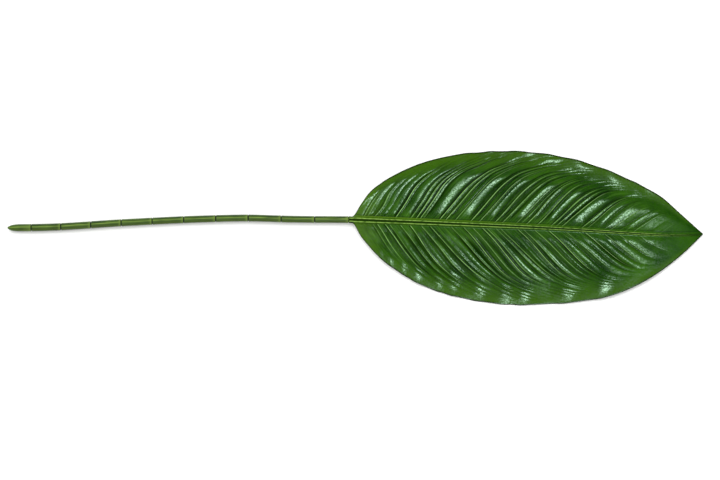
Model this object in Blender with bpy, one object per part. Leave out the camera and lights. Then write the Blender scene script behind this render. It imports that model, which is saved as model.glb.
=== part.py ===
"""A peace lily leaf lying face up: a pleated blade with a channelled midrib, carried from below by the
spine of a ringed stem. +X runs from the stem's foot to the blade's tip, +Z is up, z = 0 is the surface
that the leaf lies on, and the origin is under the middle of its box. Sizes are in millimetres."""

import math

import bpy
import numpy as np

MM = 0.001

# Driving dimensions of the whole leaf. Rings stand along the stem, and the last one is the blade's seam
FOOT_X = -380.0
TIP_X = 380.0
RING_START_X = -353.6
RING_COUNT = 10
RING_PITCH = 32.15
RING_PITCH_GROWTH = 0.547
GAP = 0.3


def ring_x(number):
    """Where a ring stands along the stem. Their pitch grows from the foot to the blade."""
    return RING_START_X + RING_PITCH * number + RING_PITCH_GROWTH * number * (number - 1) / 2


SEAM_X = ring_x(RING_COUNT)
BLADE_LENGTH = TIP_X - SEAM_X

# Midrib: its course seen from above, its height, and the channelled rib on the blade
SEAM_Y = 9.1
TIP_Y = -6.5
MIDRIB_SWAY = -2.9
SWAY_POWER = 7
SEAM_UNDER_Z = 5.2
TIP_UNDER_Z = 1.0
ARCH_RISE = 2.6
RIB_HALF_WIDTH = 3.5
RIB_NARROWING = 0.62
RIB_SHARE_OF_BLADE = 0.8
RIB_PLACES = (0.0, 0.5, 1.0)
RIB_PROFILE = (0.6, 1.9, 0.0)
RIB_LOWERING = 0.6
VEIN_SWEEP_SCALE = 1.28

# Blade: its sheet, its outline, and the sweep of its veins. A place along the blade is a share of its
# length, from 0 at the seam to 1 at the tip, and each half has its width at each of the outline's places
SHEET = 1.0
OUTLINE_PLACES = (
    0.0, 0.011, 0.03, 0.055, 0.09, 0.14, 0.2, 0.27, 0.36, 0.46, 0.56, 0.66, 0.76, 0.83, 0.88, 0.94, 1.0,
)
CROWN_PLACES = (0.0, 0.12, 0.22, 0.45, 0.68, 0.85, 1.0)
STRAY_PLACES = (0.0, 0.1, 0.4, 0.7, 1.0)

# Each half's valleys, between which the sheet arches up into pleats, are given by where they leave the
# midrib and how deep they are. Strays say how far the veins there wander half way out and further out,
# in thousandths of the blade's length. The crown lists say how high the sheet stands beside the midrib,
# from where to where it rises, and where it falls to the margin. Ruffles are lifts of the outer sheet,
# given by their place along, how far across they begin, their height and their reach
HALVES = {
    "upper": {
        "side": 1,
        "widths": (3.7, 4, 15.5, 29.5, 41.5, 53.5, 64.5, 73, 79, 82, 80.5, 74.5, 63, 52, 42, 22, 0),
        "vein_lead": 0.115,
        "vein_curl": 0.722,
        "vein_bow": -0.082,
        "vein_hook": 1.49,
        "valleys": (
            (0.032, 0.3), (0.055, 0.4), (0.083, 0.4), (0.1195, 0.9), (0.161, 0.9), (0.188, 0.8),
            (0.204, 1.0), (0.248, 1.0), (0.273, 0.9), (0.324, 1.0), (0.342, 1.0), (0.390, 1.0),
            (0.411, 0.9), (0.434, 0.9), (0.475, 0.8), (0.503, 0.8), (0.5296, 0.8), (0.554, 1.0),
            (0.586, 1.0), (0.6425, 1.0), (0.663, 0.8), (0.694, 0.6), (0.722, 0.6), (0.7555, 0.8),
            (0.784, 0.9), (0.838, 0.5), (0.905, 0.2),
        ),
        "strays": (
            (0.046, 2, 4), (0.124, 2.5, -1), (0.192, 0, -6), (0.247, 4, 6), (0.290, 2, 0), (0.402, -3, -5),
            (0.462, -3, -6), (0.505, -10, -17), (0.562, -4, -5), (0.592, 0, -3), (0.664, -7, -10),
            (0.712, -9, -15), (0.730, 2, 2), (0.796, 0, 0), (0.870, -5, -6),
        ),
        "hump": 4.9,
        "crown": (0.1, 0.4, 0.92, 0.95, 0.75, 0.15, 0.0),
        "hump_from": (0.4, 0.36, 0.2, 0.1, 0.03, 0.0, 0.0),
        "crest": (0.84, 0.8, 0.68, 0.57, 0.47, 0.5, 0.5),
        "brim": (1.0, 1.0, 0.96, 0.84, 0.80, 0.85, 0.9),
        "reach": (0.86, 0.92, 0.95, 0.82, 0.7, 0.6, 0.5),
        "tip_lift": 0.0,
        "margin_sag": 1.0,
        "pleat_height": 2.6,
        "pleat_start": 0.12,
        "flatness": 2.6,
        "ruffle_rise": (-0.12, 0.1),
        "ruffle_fall": (0.3, 0.6),
        "ruffles": (
            (0.05, 0.80, 1.0, 0.020), (0.33, 0.86, 2.2, 0.024), (0.40, 0.88, 2.0, 0.020),
            (0.475, 0.84, 2.6, 0.030), (0.56, 0.86, 2.4, 0.030), (0.645, 0.86, 2.4, 0.030),
            (0.735, 0.82, 2.4, 0.030), (0.81, 0.76, 2.0, 0.020), (0.89, 0.80, 0.5, 0.012),
        ),
    },
    "lower": {
        "side": -1,
        "widths": (3.7, 4, 16, 28, 41.5, 55, 67.5, 76.5, 83, 85.5, 83, 77.5, 66.5, 52.5, 39.5, 21, 0),
        "vein_lead": 0.215,
        "vein_curl": 0.812,
        "vein_bow": -0.221,
        "vein_hook": 1.198,
        "valleys": (
            (0.030, 0.2), (0.054, 0.4), (0.0835, 0.6), (0.0995, 0.9), (0.1285, 0.9), (0.151, 0.8),
            (0.187, 0.8), (0.2085, 0.8), (0.235, 0.6), (0.2724, 1.0), (0.2926, 1.0), (0.3215, 0.8),
            (0.350, 0.9), (0.3721, 0.8), (0.396, 1.0), (0.4247, 0.7), (0.462, 0.7), (0.499, 0.7),
            (0.525, 0.7), (0.552, 0.9), (0.584, 0.7), (0.6275, 0.6), (0.655, 1.0), (0.6964, 0.6),
            (0.7453, 0.6), (0.8059, 0.8), (0.87, 0.4),
        ),
        "strays": (
            (0.060, 1, 2), (0.0945, 3.5, 6), (0.1366, 3, 4), (0.1635, -3.5, -1), (0.195, 4, 3),
            (0.220, 6, 14), (0.279, 2, 4), (0.3135, -5, -9), (0.372, -6, -13), (0.4165, 2, 2),
            (0.4657, -9, -13), (0.513, -3, -6), (0.553, -7, -9), (0.601, 3, 0), (0.812, 5, 5),
        ),
        "hump": 1.6,
        "crown": (1.0, 1.0, 1.0, 1.0, 0.8, 0.4, 0.0),
        "hump_from": (0.0, 0.0, 0.0, 0.0, 0.0, 0.0, 0.0),
        "crest": (0.15, 0.15, 0.15, 0.15, 0.12, 0.1, 0.1),
        "brim": (0.95, 0.92, 0.88, 0.84, 0.72, 0.8, 0.9),
        "reach": (0.84, 0.86, 0.88, 0.78, 0.66, 0.56, 0.5),
        "tip_lift": 1.1,
        "margin_sag": 0.0,
        "pleat_height": 3.0,
        "pleat_start": 0.25,
        "flatness": 1.6,
        "ruffle_rise": (-0.3, -0.08),
        "ruffle_fall": (-0.06, 0.12),
        "ruffles": (
            (0.085, 0.86, 2.2, 0.012), (0.11, 0.88, 2.2, 0.010), (0.147, 0.88, 2.0, 0.012),
            (0.186, 0.86, 2.2, 0.014), (0.245, 0.88, 2.2, 0.014), (0.285, 0.86, 2.2, 0.014),
            (0.356, 0.88, 2.4, 0.020), (0.432, 0.88, 2.3, 0.020), (0.484, 0.92, 2.5, 0.018),
            (0.605, 0.90, 2.4, 0.022), (0.71, 0.84, 2.6, 0.022),
        ),
    },
}

# Relief of the blade: its pleats, and a margin that drapes to the surface, with waves and ruffles
HOOK_POWER = 6
HOOK_EASING = 0.25
HOOK_EASES_FROM = 0.8
PLEAT_REACH = 14.0
PLEAT_BEGIN = 0.05
PLEAT_END = (0.76, 0.92)
PLEAT_RUN_OUT = (-0.2, 0.1)
END_DEPTH = 0.3
DRAPE_AT_SEAM = 0.3
DRAPE_PLACES = (0.03, 0.26)
TIP_LIFT_PLACES = (0.6, 0.85)
LOWEST_AT = 0.46
MARGIN_WAVES = 9
MARGIN_WAVE_HEIGHT = 1.2
MARGIN_WAVE_PLACES = (0.85, 1.1)
RUFFLE_SPREAD = 0.25

# Stem: round petiole, then the half-round spine under the blade
STEM_BENDS = (
    (-380.0, 0.1), (-338.0, 0.7), (-251.0, 5.9), (-164.0, 9.9), (-118.0, 10.9), (-70.0, 9.6), (-7.0, 9.1),
)
STEM_SIDES = 14
STEM_FOOT_RADIUS = 4.0
STEM_SEAM_RADIUS = 3.65
NOSE_LENGTH = 15.0
NOSE_STATIONS = (0.02, 0.1, 0.26, 0.5, 0.8, 1.0)
NOSE_FULLNESS = (2.4, 0.55)
STEM_TOP_ABOVE_SPINE = 2.95
RING_DEPTH = 0.7
RING_HALF_WIDTH = 1.0
SPINE_DEPTH = 4.0
SPINE_THINNING = 0.8
SPINE_END = 0.86
SPINE_STATIONS = 14

# Mesh of the blade
RIB_ROWS = (0.0, 0.5, 1.0)
WING_ROWS = (0.07, 0.17, 0.29, 0.42, 0.54, 0.65, 0.75, 0.84, 0.92, 1.0)
COLUMN_STEP = 0.0103
BASE_COLUMNS = (0.0, 0.0002, 0.0006, 0.0012, 0.002, 0.0035, 0.0055, 0.008, 0.012, 0.016, 0.021)
TIP_COLUMNS = (0.935, 0.962, 0.985)

SWEEP_ROUNDS = 4
SMOOTH_UP_TO = 50

# Finishes
BLADE_GREEN = (0.035, 0.11, 0.012)
BLADE_ROUGHNESS = 0.35
STEM_GREEN = (0.10, 0.21, 0.045)
STEM_ROUGHNESS = 0.45


def smooth_step(value, start, end):
    """0 before start, 1 after end, and an even curve between them."""
    share = np.clip((value - start) / (end - start), 0.0, 1.0)
    return share * share * (3.0 - 2.0 * share)


def midrib_y(along):
    """The midrib seen from above: a straight lean, with a slight sway short of the tip."""
    crest = SWAY_POWER / (SWAY_POWER + 1)
    sway = along**SWAY_POWER * (1 - along) / (crest**SWAY_POWER * (1 - crest))
    return SEAM_Y + (TIP_Y - SEAM_Y) * along + MIDRIB_SWAY * sway


def midrib_under_z(along):
    """Height of the blade's lower face along the midrib, which arches off the surface."""
    lean = SEAM_UNDER_Z + (TIP_UNDER_Z - SEAM_UNDER_Z) * along
    return lean + ARCH_RISE * np.sin(math.pi * along)


def smooth_through(places, values, at):
    """A smooth curve through a few given points."""
    places = np.asarray(places)
    values = np.asarray(values)
    slopes = np.gradient(values, places)
    piece = np.clip(np.searchsorted(places, at) - 1, 0, len(places) - 2)
    length = places[piece + 1] - places[piece]
    s = (at - places[piece]) / length
    ends = (2 * s**3 - 3 * s**2 + 1) * values[piece] + (3 * s**2 - 2 * s**3) * values[piece + 1]
    tangents = (s**3 - 2 * s**2 + s) * slopes[piece] + (s**3 - s**2) * slopes[piece + 1]
    return ends + tangents * length


def ruffle_share(along, place, reach):
    """1 at the middle of a ruffle, and 0 well past its reach."""
    return np.exp(-(((along - place) / reach) ** 2))


def half_width(along, half):
    """From the midrib's middle to the margin, which stands out slightly at each ruffle."""
    outline = np.maximum(smooth_through(OUTLINE_PLACES, half["widths"], along), 0.0)
    bulge = sum(lift * ruffle_share(along, place, reach) for place, _, lift, reach in half["ruffles"])
    return outline + RUFFLE_SPREAD * bulge * outline / max(half["widths"])


def width_share(along, half):
    """How far the half blade has opened from its neck, as a share of its greatest width."""
    neck = half["widths"][0]
    return np.clip((half_width(along, half) - neck) / (max(half["widths"]) - neck), 0.0, 1.0)


def rib_half_width(along, half):
    """The rib narrows towards the tip, and always leaves some sheet beside it."""
    rib = RIB_HALF_WIDTH * (1 - RIB_NARROWING * along)
    return np.minimum(rib, RIB_SHARE_OF_BLADE * half_width(along, half))


def stray(start, across, half):
    """How far the vein here wanders from its even sweep."""
    places, middles, outers = zip(*half["strays"])
    places = (0.0, *places, 1.0)
    middle = np.interp(start, places, (0.0, *middles, 0.0))
    outer = np.interp(start, places, (0.0, *outers, 0.0))
    at_middle = smooth_through(STRAY_PLACES, (0.0, 0.0, 1.0, 0.0, 0.0), across)
    at_outer = smooth_through(STRAY_PLACES, (0.0, 0.0, 0.0, 1.0, 0.0), across)
    return (middle * at_middle + outer * at_outer) / 1000


def vein_place(start, across, half):
    """How far along the blade a vein has got when it is this far across. start is where it leaves the
    midrib, as a share of the blade's length, and across runs from 0 at its middle to 1 at the margin."""
    easing = 1 - HOOK_EASING * smooth_step(across, HOOK_EASES_FROM, 1.0)
    hook = half["vein_hook"] * across**HOOK_POWER * easing
    sweep = (across + half["vein_bow"] * across**2 + hook) / VEIN_SWEEP_SCALE
    lead = 1 - half["vein_lead"] * sweep
    curl = 1 + half["vein_curl"] * sweep
    strayed = np.clip(start + stray(start, across, half), 0.0, 1.0)
    return 1 - (1 - strayed**lead) ** curl


def pleat_drop(start, along, across, half):
    """How far the sheet dips below its pleats' crests. Wide pleats arch more than narrow ones, and all run
    out towards the margin, the seam and the tip."""
    places = np.array([0.0, *(place for place, _ in half["valleys"]), 1.0])
    depths = np.array([END_DEPTH, *(depth for _, depth in half["valleys"]), END_DEPTH])
    which = np.clip(np.searchsorted(places, start, side="right") - 1, 0, len(places) - 2)
    spacing = places[which + 1] - places[which]
    share = np.clip((start - places[which]) / spacing, 0.0, 1.0)
    arch = 1 - np.abs(2 * share - 1) ** half["flatness"]
    floor = half["pleat_height"] * (depths[which] * (1 - share) + depths[which + 1] * share)
    drop = floor - arch * floor * (1 - np.exp(-spacing * BLADE_LENGTH / PLEAT_REACH))
    reach = smooth_through(CROWN_PLACES, half["reach"], start)
    begin = smooth_step(across, 0.0, half["pleat_start"]) * smooth_step(start, 0.0, PLEAT_BEGIN)
    run_out = smooth_step(across, reach + PLEAT_RUN_OUT[0], reach + PLEAT_RUN_OUT[1])
    return drop * begin * (1 - run_out) * (1 - smooth_step(along, *PLEAT_END))


def ruffle_height(along, across, half):
    """Gentle lifts of the outer sheet."""
    height = 0.0 * along
    for place, middle, lift, reach in half["ruffles"]:
        rise = smooth_step(across, middle + half["ruffle_rise"][0], middle + half["ruffle_rise"][1])
        fall = smooth_step(across, middle + half["ruffle_fall"][0], middle + half["ruffle_fall"][1])
        height = height + lift * ruffle_share(along, place, reach) * rise * (1 - fall)
    return height


def blade_point(start, across_rib, across, half):
    """(x, y, z of the lower face, z of the upper face) of a point of the blade. across_rib runs from 0 at
    the midrib's middle to 1 at the rib's edge, and across from there to the margin."""
    along = start
    for _ in range(SWEEP_ROUNDS):
        rib = rib_half_width(along, half)
        full = half_width(along, half)
        out = (rib * across_rib + (full - rib) * across) / np.maximum(full, 0.1)
        along = vein_place(start, out, half)
    rib = rib_half_width(along, half)
    full = half_width(along, half)
    x = SEAM_X + 2 * GAP + (BLADE_LENGTH - 2 * GAP) * along
    y = midrib_y(along) + half["side"] * (rib * across_rib + (full - rib) * across)

    spread = width_share(along, half)
    rib_z = midrib_under_z(along)
    wave = 0.5 - 0.5 * np.cos(2 * math.pi * MARGIN_WAVES * (along - LOWEST_AT))
    drape = spread * (DRAPE_AT_SEAM + (1 - DRAPE_AT_SEAM) * smooth_step(along, *DRAPE_PLACES))
    drape = drape * (1 - half["tip_lift"] * smooth_step(along, *TIP_LIFT_PLACES))
    wave_z = MARGIN_WAVE_HEIGHT * wave * spread * smooth_step(across, *MARGIN_WAVE_PLACES)
    margin_z = rib_z * (1 - drape) + wave_z
    crown = smooth_through(CROWN_PLACES, half["crown"], start)
    hump_from = smooth_through(CROWN_PLACES, half["hump_from"], start)
    crest = smooth_through(CROWN_PLACES, half["crest"], start)
    brim = smooth_through(CROWN_PLACES, half["brim"], start)
    crown_z = rib_z + half["hump"] * crown * spread * smooth_step(across, hump_from, crest)
    fall = smooth_step(across, crest, brim)
    under = crown_z + (margin_z - crown_z) * fall - pleat_drop(start, along, across, half)
    under = under + (ruffle_height(along, across, half) - half["margin_sag"] * fall) * spread
    under = np.maximum(under, 0.0)

    profile = np.interp(across_rib, RIB_PLACES, RIB_PROFILE)
    return x, y, under, under + SHEET + profile * (1 - RIB_LOWERING * along)


def vein_columns(half, counts):
    """Where the mesh's columns leave the midrib: on every valley, and counts of them between valleys."""
    edges = (BASE_COLUMNS[-1], *(place for place, _ in half["valleys"]), TIP_COLUMNS[0])
    columns = list(BASE_COLUMNS[:-1])
    for first, last, count in zip(edges, edges[1:], counts):
        columns += [first + (last - first) * step / count for step in range(count)]
    return np.array(columns + list(TIP_COLUMNS))


def column_counts():
    """Both halves share their columns at the midrib, so each gap gets as many as its wider side needs."""
    gaps = []
    for half in HALVES.values():
        edges = (BASE_COLUMNS[-1], *(place for place, _ in half["valleys"]), TIP_COLUMNS[0])
        gaps.append(np.diff(edges))
    return [max(2, round(float(gap) / COLUMN_STEP)) for gap in np.maximum(*gaps)]


def blade_rows(half):
    """The half blade's grid of points, one row for each place across, from the rib's middle outwards."""
    counts = column_counts()
    own = vein_columns(half, counts)
    shared = (vein_columns(HALVES["upper"], counts) + vein_columns(HALVES["lower"], counts)) / 2
    rows = [blade_point(own * share + shared * (1 - share), share, 0.0, half) for share in RIB_ROWS]
    rows += [blade_point(own, 1.0, across, half) for across in WING_ROWS]
    return rows


def blade_mesh():
    """The sheet's two faces are one grid each, and both are split alike along each quad's short diagonal."""
    upper = blade_rows(HALVES["upper"])
    lower = blade_rows(HALVES["lower"])
    rows = lower[:0:-1] + upper
    points = np.array([np.stack(row, axis=-1) for row in rows])
    row_count, column_count = points.shape[:2]
    face_size = row_count * column_count
    vertices = [(p[0], p[1], p[3]) for p in points.reshape(-1, 4)]
    vertices += [(p[0], p[1], p[2]) for p in points.reshape(-1, 4)]
    tip_top = len(vertices)
    vertices += [(TIP_X, TIP_Y, TIP_UNDER_Z + SHEET), (TIP_X, TIP_Y, TIP_UNDER_Z)]

    faces = []

    def quad(a, b, c, d):
        faces.extend([(a, b, c), (a, c, d)])

    last = column_count - 1
    for row in range(row_count - 1):
        for column in range(last):
            a = row * column_count + column
            b, c, d = a + 1, a + column_count + 1, a + column_count
            if row < len(lower) - 1:
                halves = [(a, b, c), (a, c, d)]
            else:
                halves = [(b, c, d), (b, d, a)]
            faces += halves
            faces += [(p + face_size, r + face_size, q + face_size) for p, q, r in halves]
        base = row * column_count
        quad(base, base + column_count, base + column_count + face_size, base + face_size)
        end = base + last
        faces.append((end, tip_top, end + column_count))
        faces.append((end + face_size, end + column_count + face_size, tip_top + 1))
    for column in range(last):
        a = column
        quad(a, a + face_size, a + face_size + 1, a + 1)
        a = (row_count - 1) * column_count + column
        quad(a, a + 1, a + 1 + face_size, a + face_size)
    end = last
    quad(end, end + face_size, tip_top + 1, tip_top)
    end = face_size - 1
    quad(end, tip_top, tip_top + 1, end + face_size)
    return vertices, faces


def bend_y(x):
    """The stem seen from above."""
    places, values = zip(*STEM_BENDS)
    return float(smooth_through(places, values, x))


def stem_radius(x):
    """Without its rings: past the first one it thins slightly, and its nose is rounded."""
    share = max(0.0, (x - ring_x(0)) / (SEAM_X - ring_x(0)))
    radius = STEM_FOOT_RADIUS + (STEM_SEAM_RADIUS - STEM_FOOT_RADIUS) * share
    first = NOSE_STATIONS[0]
    nose = min(first + (1 - first) * (x - FOOT_X) / NOSE_LENGTH, 1.0)
    return radius * (1 - (1 - nose) ** NOSE_FULLNESS[0]) ** NOSE_FULLNESS[1]


def stem_axis_z(x):
    """The foot lies flat on the surface, and the stem then lifts slightly to the blade."""
    foot = STEM_FOOT_RADIUS * math.cos(math.pi / STEM_SIDES)
    seam = SEAM_UNDER_Z + STEM_TOP_ABOVE_SPINE - STEM_SEAM_RADIUS
    return foot + (seam - foot) * float(smooth_step(x, ring_x(0), SEAM_X))


def stem_section(x, radius):
    """One polygon round the petiole, with a flat side down."""
    ring = []
    for corner in range(STEM_SIDES):
        angle = 2 * math.pi * (corner + 0.5) / STEM_SIDES - math.pi / 2
        ring.append((x, bend_y(x) + radius * math.cos(angle), stem_axis_z(x) + radius * math.sin(angle)))
    return ring


def spine_section(along):
    """One polygon of the spine: flat above, half round below, thinning as the rib does."""
    x = SEAM_X + GAP + (BLADE_LENGTH - GAP) * along
    top = float(midrib_under_z(along)) - GAP
    width = (RIB_HALF_WIDTH - GAP) * (1 - RIB_NARROWING * along)
    depth = SPINE_DEPTH * (1 - SPINE_THINNING * along)
    ring = []
    for corner in range(STEM_SIDES):
        angle = 2 * math.pi * (corner + 0.5) / STEM_SIDES - math.pi / 2
        below = min(0.0, math.sin(angle))
        ring.append((x, float(midrib_y(along)) + width * math.cos(angle), top + depth * below))
    return ring


def stem_mesh():
    """The petiole and the spine as one loft of polygons, closed at both ends."""
    first = NOSE_STATIONS[0]
    stations = [FOOT_X + NOSE_LENGTH * (share - first) / (1 - first) for share in NOSE_STATIONS]
    sections = [stem_section(x, stem_radius(x)) for x in stations]
    for number in range(RING_COUNT):
        middle = ring_x(number)
        for offset in (-RING_HALF_WIDTH, 0.0, RING_HALF_WIDTH):
            cut = RING_DEPTH if offset == 0 else 0.0
            sections.append(stem_section(middle + offset, stem_radius(middle + offset) - cut))
        between = (middle + ring_x(number + 1)) / 2
        sections.append(stem_section(between, stem_radius(between)))
    sections.append(stem_section(SEAM_X, stem_radius(SEAM_X)))
    sections += [spine_section(SPINE_END * step / SPINE_STATIONS) for step in range(SPINE_STATIONS + 1)]

    vertices = [point for section in sections for point in section]
    faces = [tuple(reversed(range(STEM_SIDES)))]
    for section in range(len(sections) - 1):
        for corner in range(STEM_SIDES):
            after = (corner + 1) % STEM_SIDES
            a = section * STEM_SIDES
            faces.append((a + corner, a + after, a + STEM_SIDES + after, a + STEM_SIDES + corner))
    faces.append(tuple(range(len(vertices) - STEM_SIDES, len(vertices))))
    return vertices, faces


def finish_of(name, colour, roughness):
    """A plain glossy or satin finish for one piece."""
    material = bpy.data.materials.new(name)
    material.diffuse_color = (*colour, 1.0)
    material.use_nodes = True
    shader = material.node_tree.nodes["Principled BSDF"]
    shader.inputs["Base Color"].default_value = (*colour, 1.0)
    shader.inputs["Roughness"].default_value = roughness
    shader.inputs["Metallic"].default_value = 0.0
    return material


def add_piece(name, vertices, faces, material):
    """A named object, smooth except at its sharp edges."""
    mesh = bpy.data.meshes.new(name)
    mesh.from_pydata([tuple(float(value) * MM for value in point) for point in vertices], [], faces)
    mesh.validate()
    mesh.shade_smooth()
    mesh.set_sharp_from_angle(angle=math.radians(SMOOTH_UP_TO))
    mesh.materials.append(material)
    piece = bpy.data.objects.new(name, mesh)
    bpy.context.scene.collection.objects.link(piece)
    return piece


def main():
    for old in list(bpy.data.objects):
        bpy.data.objects.remove(old)
    add_piece("blade", *blade_mesh(), finish_of("blade_green", BLADE_GREEN, BLADE_ROUGHNESS))
    add_piece("stem", *stem_mesh(), finish_of("stem_green", STEM_GREEN, STEM_ROUGHNESS))


main()
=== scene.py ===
import math

import bpy
import numpy as np
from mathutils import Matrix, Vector


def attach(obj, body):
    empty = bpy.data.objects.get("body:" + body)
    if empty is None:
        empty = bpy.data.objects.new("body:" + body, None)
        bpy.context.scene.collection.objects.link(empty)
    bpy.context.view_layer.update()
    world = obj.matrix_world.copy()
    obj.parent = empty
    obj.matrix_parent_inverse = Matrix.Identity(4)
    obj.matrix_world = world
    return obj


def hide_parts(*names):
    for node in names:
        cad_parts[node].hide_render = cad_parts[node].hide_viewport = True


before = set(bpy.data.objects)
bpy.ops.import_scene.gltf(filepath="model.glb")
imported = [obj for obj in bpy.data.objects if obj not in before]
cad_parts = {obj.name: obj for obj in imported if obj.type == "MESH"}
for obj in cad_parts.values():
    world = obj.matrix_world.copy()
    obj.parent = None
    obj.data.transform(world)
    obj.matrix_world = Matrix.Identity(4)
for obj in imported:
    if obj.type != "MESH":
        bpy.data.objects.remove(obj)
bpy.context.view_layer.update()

MM = 0.001

# Sizes below are in millimetres, in the frame of the solids: +X from the stem's foot to the blade's tip,
# +Z up, and z = 0 where the leaf lies. A place along the blade is a share of its length, from 0 at the
# seam with the stem to 1 at the tip, and a place across it a share of the way from the rib to the margin.

# The gap between the blade and the stem
GAP = 0.3

# The stem and its rings, whose pitch grows from the foot to the blade
FOOT_X = -380.0
TIP_X = 380.0
RING_START_X = -353.6
RING_COUNT = 10
RING_PITCH = 32.15
RING_PITCH_GROWTH = 0.547


def ring_x(number):
    """Where a ring stands along the stem."""
    return RING_START_X + RING_PITCH * number + RING_PITCH_GROWTH * number * (number - 1) / 2


SEAM_X = ring_x(RING_COUNT)
BLADE_LENGTH = TIP_X - SEAM_X

# The midrib's course and height, and the channelled rib on the blade
SEAM_Y = 9.1
TIP_Y = -6.5
MIDRIB_SWAY = -2.9
SWAY_POWER = 7
SEAM_UNDER_Z = 5.2
TIP_UNDER_Z = 1.0
ARCH_RISE = 2.6
RIB_HALF_WIDTH = 3.5
RIB_NARROWING = 0.62
RIB_SHARE_OF_BLADE = 0.8
RIB_PLACES = (0.0, 0.18, 0.36, 0.55, 0.72, 0.88, 1.0)
RIB_PROFILE = (0.3, 0.45, 1.45, 2.0, 1.5, 0.6, 0.0)
RIB_LOWERING = 0.6
RIDGE_AT = 0.55
RIDGE_HALF_WIDTH = 0.14
CHANNEL_HALF_WIDTH = 0.26
RIB_COLOUR_PLACES = (0.75, 1.0)

# The blade's sheet, its outline, and the sweep of its veins
SHEET = 1.0
MARGIN_SHEET = 0.7
MARGIN_TAPER = 0.9
RIM_PLACES = (0.6, 2.0)
VEIN_SWEEP_SCALE = 1.28
HOOK_POWER = 6
HOOK_EASING = 0.25
HOOK_EASES_FROM = 0.8
SWEEP_ROUNDS = 4
OUTLINE_PLACES = (
    0.0, 0.011, 0.03, 0.055, 0.09, 0.14, 0.2, 0.27, 0.36, 0.46, 0.56, 0.66, 0.76, 0.83, 0.88, 0.94, 1.0,
)
CROWN_PLACES = (0.0, 0.12, 0.22, 0.45, 0.68, 0.85, 1.0)
STRAY_PLACES = (0.0, 0.1, 0.4, 0.7, 1.0)
UPPER = {
    "side": 1,
    "widths": (3.7, 4, 15.5, 29.5, 41.5, 53.5, 64.5, 73, 79, 82, 80.5, 74.5, 63, 52, 42, 22, 0),
    "vein_lead": 0.115,
    "vein_curl": 0.722,
    "vein_bow": -0.082,
    "vein_hook": 1.49,
    # Where each vein leaves the midrib, how strong it is, and how far it strays half way out and further
    # out, in thousandths of the blade's length
    "veins": (
        (0.037, 0.5, 1, 4), (0.046, 0.3, 2, 4), (0.066, 0.6, 8, 3), (0.124, 1.0, 2.5, -1),
        (0.166, 0.6, 0, -4), (0.181, 1.0, -1, -5), (0.192, 0.9, 0, -6), (0.201, 0.3, 0, -6),
        (0.247, 1.0, 4, 6), (0.264, 1.0, 3.5, 1), (0.290, 0.5, 2, 0), (0.334, 1.0, -1, -4),
        (0.358, 0.7, 0, -3), (0.402, 0.9, -3, -5), (0.423, 0.9, 0, -3), (0.462, 0.4, -3, -6),
        (0.476, 0.3, -4, -8), (0.4915, 0.9, -10, -16), (0.522, 0.8, -10, -18), (0.562, 0.8, -4, -5),
        (0.576, 0.6, -2, -4), (0.592, 0.8, 0, -3), (0.649, 0.7, -2, -3), (0.664, 0.6, -7, -10),
        (0.712, 0.3, -9, -15), (0.730, 0.5, 2, 2), (0.772, 0.3, 2, 0), (0.796, 0.4, 0, 0),
        (0.870, 0.2, -5, -6),
    ),
    # Where the sheet dips between two pleats, how deep, and how far the pleat after it leans
    "valleys": (
        (0.032, 0.3, 0.3), (0.055, 0.4, 0.3), (0.0747, 0.35, 0.3), (0.0915, 0.4, 0.0), (0.1195, 0.9, -0.3),
        (0.131, 0.7, 0.2), (0.161, 0.9, -0.6), (0.172, 0.8, 0.0), (0.188, 0.8, 0.0), (0.204, 1.0, 1.0),
        (0.243, 1.0, 0.0), (0.254, 0.8, 0.0), (0.273, 0.9, -1.0), (0.286, 0.4, 0.8), (0.324, 1.0, 0.0),
        (0.342, 1.0, -0.3), (0.3634, 0.5, 0.9), (0.390, 1.0, -0.5), (0.411, 0.9, -0.3), (0.434, 0.9, 0.9),
        (0.4686, 0.8, -0.8), (0.482, 0.8, -0.3), (0.503, 0.8, -0.5), (0.5296, 0.8, 0.9), (0.554, 1.0, -0.4),
        (0.569, 0.9, -0.8), (0.586, 1.0, 0.6), (0.6425, 1.0, -0.2), (0.661, 0.8, -0.6), (0.694, 0.5, 0.8),
        (0.7555, 0.8, 0.8), (0.784, 0.8, 0.4), (0.838, 0.4, 1.0), (0.905, 0.2, 1.0),
    ),
    "hump": 4.9,
    "hump_from": (0.4, 0.36, 0.2, 0.1, 0.03, 0.0, 0.0),
    "crest": (0.84, 0.8, 0.68, 0.57, 0.47, 0.5, 0.5),
    "brim": (1.0, 1.0, 0.96, 0.84, 0.80, 0.85, 0.9),
    "crown": (0.1, 0.4, 0.92, 0.95, 0.75, 0.15, 0.0),
    "reach": (0.86, 0.92, 0.95, 0.82, 0.7, 0.6, 0.5),
    "tip_lift": 0.0,
    "margin_sag": 1.0,
    "pleat_height": 2.6,
    "pleat_start": 0.12,
    "flatness": 2.6,
    # How far across each lift of the sheet begins and ends, and how much of it falls again at the margin
    "ruffle_rise": (-0.12, 0.1),
    "ruffle_fall": 0.0,
    # Each lift's place along, its place across, its height and its reach
    "ruffles": (
        (0.05, 0.80, 1.2, 0.020), (0.33, 0.86, 2.6, 0.024), (0.40, 0.88, 2.4, 0.020),
        (0.475, 0.84, 3.2, 0.030), (0.56, 0.86, 3.0, 0.030), (0.645, 0.86, 3.0, 0.030),
        (0.735, 0.82, 3.0, 0.030), (0.81, 0.76, 2.4, 0.020), (0.89, 0.80, 0.6, 0.012),
    ),
}
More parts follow.
